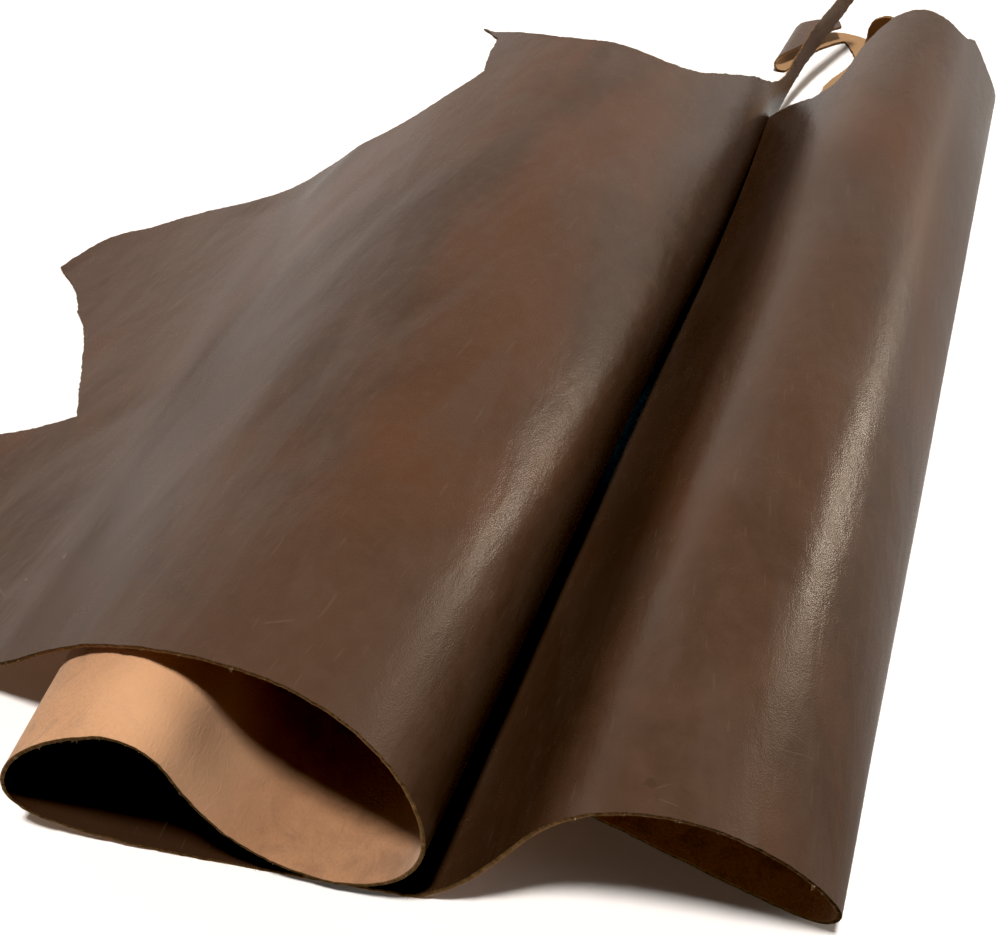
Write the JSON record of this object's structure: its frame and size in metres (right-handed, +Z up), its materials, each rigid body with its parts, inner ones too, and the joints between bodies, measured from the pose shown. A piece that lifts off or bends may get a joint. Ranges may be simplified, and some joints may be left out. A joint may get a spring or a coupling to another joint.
{
  "type": "leather hide",
  "caption": "Tanned leather side, grain dark brown and flesh tan, lying folded back and forth on itself in soft layers.",
  "frame": {"origin": "middle of the bounding box, on the surface the hide rests on", "axes": "+Z up, -Y towards the straight backbone cut, +Y towards the ragged belly edge, +X towards the tall roll"},
  "size_m": [1.2482, 1.3688, 0.1833],
  "materials": {
    "hide": "waxed grain"
  },
  "bodies": {
    "root": {"hide": "hide"}
  },
  "joints": []
}
